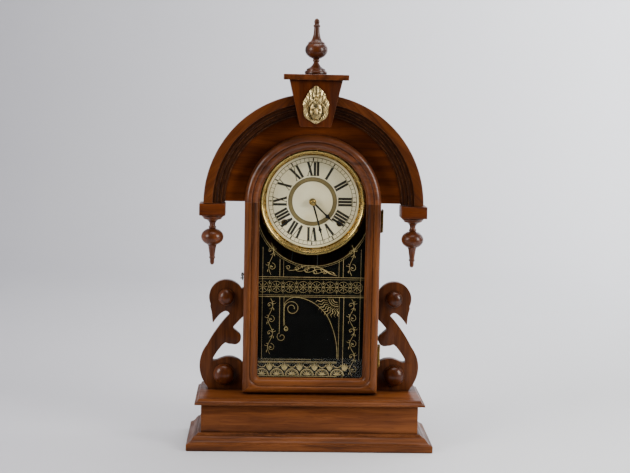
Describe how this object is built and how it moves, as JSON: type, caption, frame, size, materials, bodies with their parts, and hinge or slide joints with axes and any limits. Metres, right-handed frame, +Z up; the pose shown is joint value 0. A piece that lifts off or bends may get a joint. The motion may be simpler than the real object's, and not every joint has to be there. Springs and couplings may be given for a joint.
{
  "type": "mantel clock",
  "caption": "Arched walnut mantel clock with a hinged glass door, open scroll brackets, drop finials, turned top finial and a pendulum movement with strike.",
  "frame": {"origin": "middle of the footprint, on the surface the clock stands on", "axes": "+Z up, +X to the viewer's right when facing the dial, +Y to the back; the dial faces -Y"},
  "size_m": [0.35, 0.128, 0.6095],
  "materials": {
    "walnut": "oiled and varnished, semi-gloss",
    "walnut_dark": "stained, semi-gloss",
    "brass": "lightly tarnished",
    "antique_brass": "cast, antique, with dark recesses",
    "steel": "turned and drawn steel",
    "blued_steel": "blackened steel",
    "gong_iron": "blackened steel wire and cast block",
    "dial_paint": "aged ivory paint with black figures",
    "painted_glass": "clear over the dial, black and gilt behind below it"
  },
  "bodies": {
    "case": {"plinth_frame": "walnut", "base_moulding_front": "walnut", "base_moulding_left": "walnut", "base_moulding_right": "walnut", "base_top_board": "walnut", "case_left_side": "walnut", "case_right_side": "walnut", "hood_arch_left": "walnut", "hood_arch_right": "walnut", "hood_block_left": "walnut", "hood_block_right": "walnut", "drop_finial_left": "walnut", "drop_finial_right": "walnut", "keystone": "walnut", "keystone_cap": "walnut", "top_finial": "walnut", "left_scroll": "walnut", "right_scroll": "walnut", "upper_boss_left": "walnut", "upper_boss_right": "walnut", "lower_boss_left": "walnut", "lower_boss_right": "walnut", "case_top_board": "walnut_dark", "back_board": "walnut_dark", "tympanum_panel": "walnut_dark", "dial_bezel": "brass", "movement_front_plate": "brass", "movement_back_plate": "brass", "upper_hinge_case_leaf": "brass", "lower_hinge_case_leaf": "brass", "mask_ornament": "antique_brass", "time_mainspring": "steel", "strike_mainspring": "steel", "latch_screw": "steel", "coil_gong": "gong_iron", "dial_plate": "dial_paint"},
    "door": {"door_left_stile": "walnut", "door_right_stile": "walnut", "door_bottom_rail": "walnut", "door_arch": "walnut", "door_glass": "painted_glass", "upper_hinge_door_leaf": "brass", "lower_hinge_door_leaf": "brass", "latch_catch_pin": "steel"},
    "hook": {"latch_hook": "blued_steel"},
    "minute": {"minute_hand": "blued_steel", "hand_nut": "brass", "center_wheel": "brass"},
    "hour": {"hour_hand": "blued_steel", "hour_wheel": "brass"},
    "minute_wheel": {"minute_wheel": "brass"},
    "second_wheel": {"second_wheel": "brass"},
    "third_wheel": {"third_wheel": "brass"},
    "escape_wheel": {"escape_wheel": "brass"},
    "time_great_wheel": {"time_great_wheel": "brass"},
    "strike_great_wheel": {"strike_great_wheel": "brass"},
    "verge": {"verge": "steel"},
    "pendulum": {"pendulum_rod": "steel", "pendulum_bob": "brass"},
    "hammer": {"strike_hammer": "steel"}
  },
  "joints": [
    {"name": "door_hinge", "type": "hinge", "parent": "case", "child": "door", "pos_m": [0.0999, -0.00315, 0.2265], "axis": [0, 0, 1], "range_deg": [0, 78]},
    {"name": "hook_pivot", "type": "hinge", "parent": "case", "child": "hook", "pos_m": [-0.0995, 0.007, 0.243], "axis": [-1, 0, 0], "range_deg": [0, 110]},
    {"name": "minute_arbor", "type": "hinge", "parent": "case", "child": "minute", "pos_m": [0, 0.0042, 0.35], "axis": [0, 1, 0], "continuous": true},
    {"name": "hour_pipe", "type": "hinge", "parent": "case", "child": "hour", "pos_m": [0, 0.0072, 0.35], "axis": [0, 1, 0], "continuous": true},
    {"name": "minute_wheel_stud", "type": "hinge", "parent": "case", "child": "minute_wheel", "pos_m": [-0.01245, 0.036, 0.35], "axis": [0, 1, 0], "continuous": true},
    {"name": "second_arbor", "type": "hinge", "parent": "case", "child": "second_wheel", "pos_m": [0.00845, 0.036, 0.33135], "axis": [0, 1, 0], "continuous": true},
    {"name": "third_arbor", "type": "hinge", "parent": "case", "child": "third_wheel", "pos_m": [0.01841, 0.036, 0.3573], "axis": [0, 1, 0], "continuous": true},
    {"name": "escape_arbor", "type": "hinge", "parent": "case", "child": "escape_wheel", "pos_m": [0.009, 0.036, 0.371], "axis": [0, 1, 0], "continuous": true},
    {"name": "time_winding_arbor", "type": "hinge", "parent": "case", "child": "time_great_wheel", "pos_m": [0.0398, 0.036, 0.319], "axis": [0, 1, 0], "continuous": true},
    {"name": "strike_winding_arbor", "type": "hinge", "parent": "case", "child": "strike_great_wheel", "pos_m": [-0.0398, 0.036, 0.319], "axis": [0, 1, 0], "continuous": true},
    {"name": "pendulum_swing", "type": "hinge", "parent": "case", "child": "pendulum", "pos_m": [0.009, 0.015, 0.384], "axis": [0, 1, 0], "range_deg": [-4, 4]},
    {"name": "verge_rock", "type": "hinge", "parent": "case", "child": "verge", "pos_m": [0.009, 0.0188, 0.384], "axis": [0, 1, 0], "range_deg": [-4, 4]},
    {"name": "hammer_lift", "type": "hinge", "parent": "case", "child": "hammer", "pos_m": [-0.024, 0.036, 0.29], "axis": [0, 1, 0], "range_deg": [0, 20], "stiffness_Nm_per_rad": 0.02, "springref_deg": -5.73}
  ],
  "couplings": [
    {"joint": "hour_pipe", "follows": "minute_arbor", "ratio": 0.083333},
    {"joint": "minute_wheel_stud", "follows": "minute_arbor", "ratio": -0.33333},
    {"joint": "second_arbor", "follows": "minute_arbor", "ratio": -0.3},
    {"joint": "time_winding_arbor", "follows": "minute_arbor", "ratio": 0.05},
    {"joint": "third_arbor", "follows": "minute_arbor", "ratio": -10},
    {"joint": "escape_arbor", "follows": "minute_arbor", "ratio": 100},
    {"joint": "verge_rock", "follows": "pendulum_swing", "ratio": 1}
  ]
}
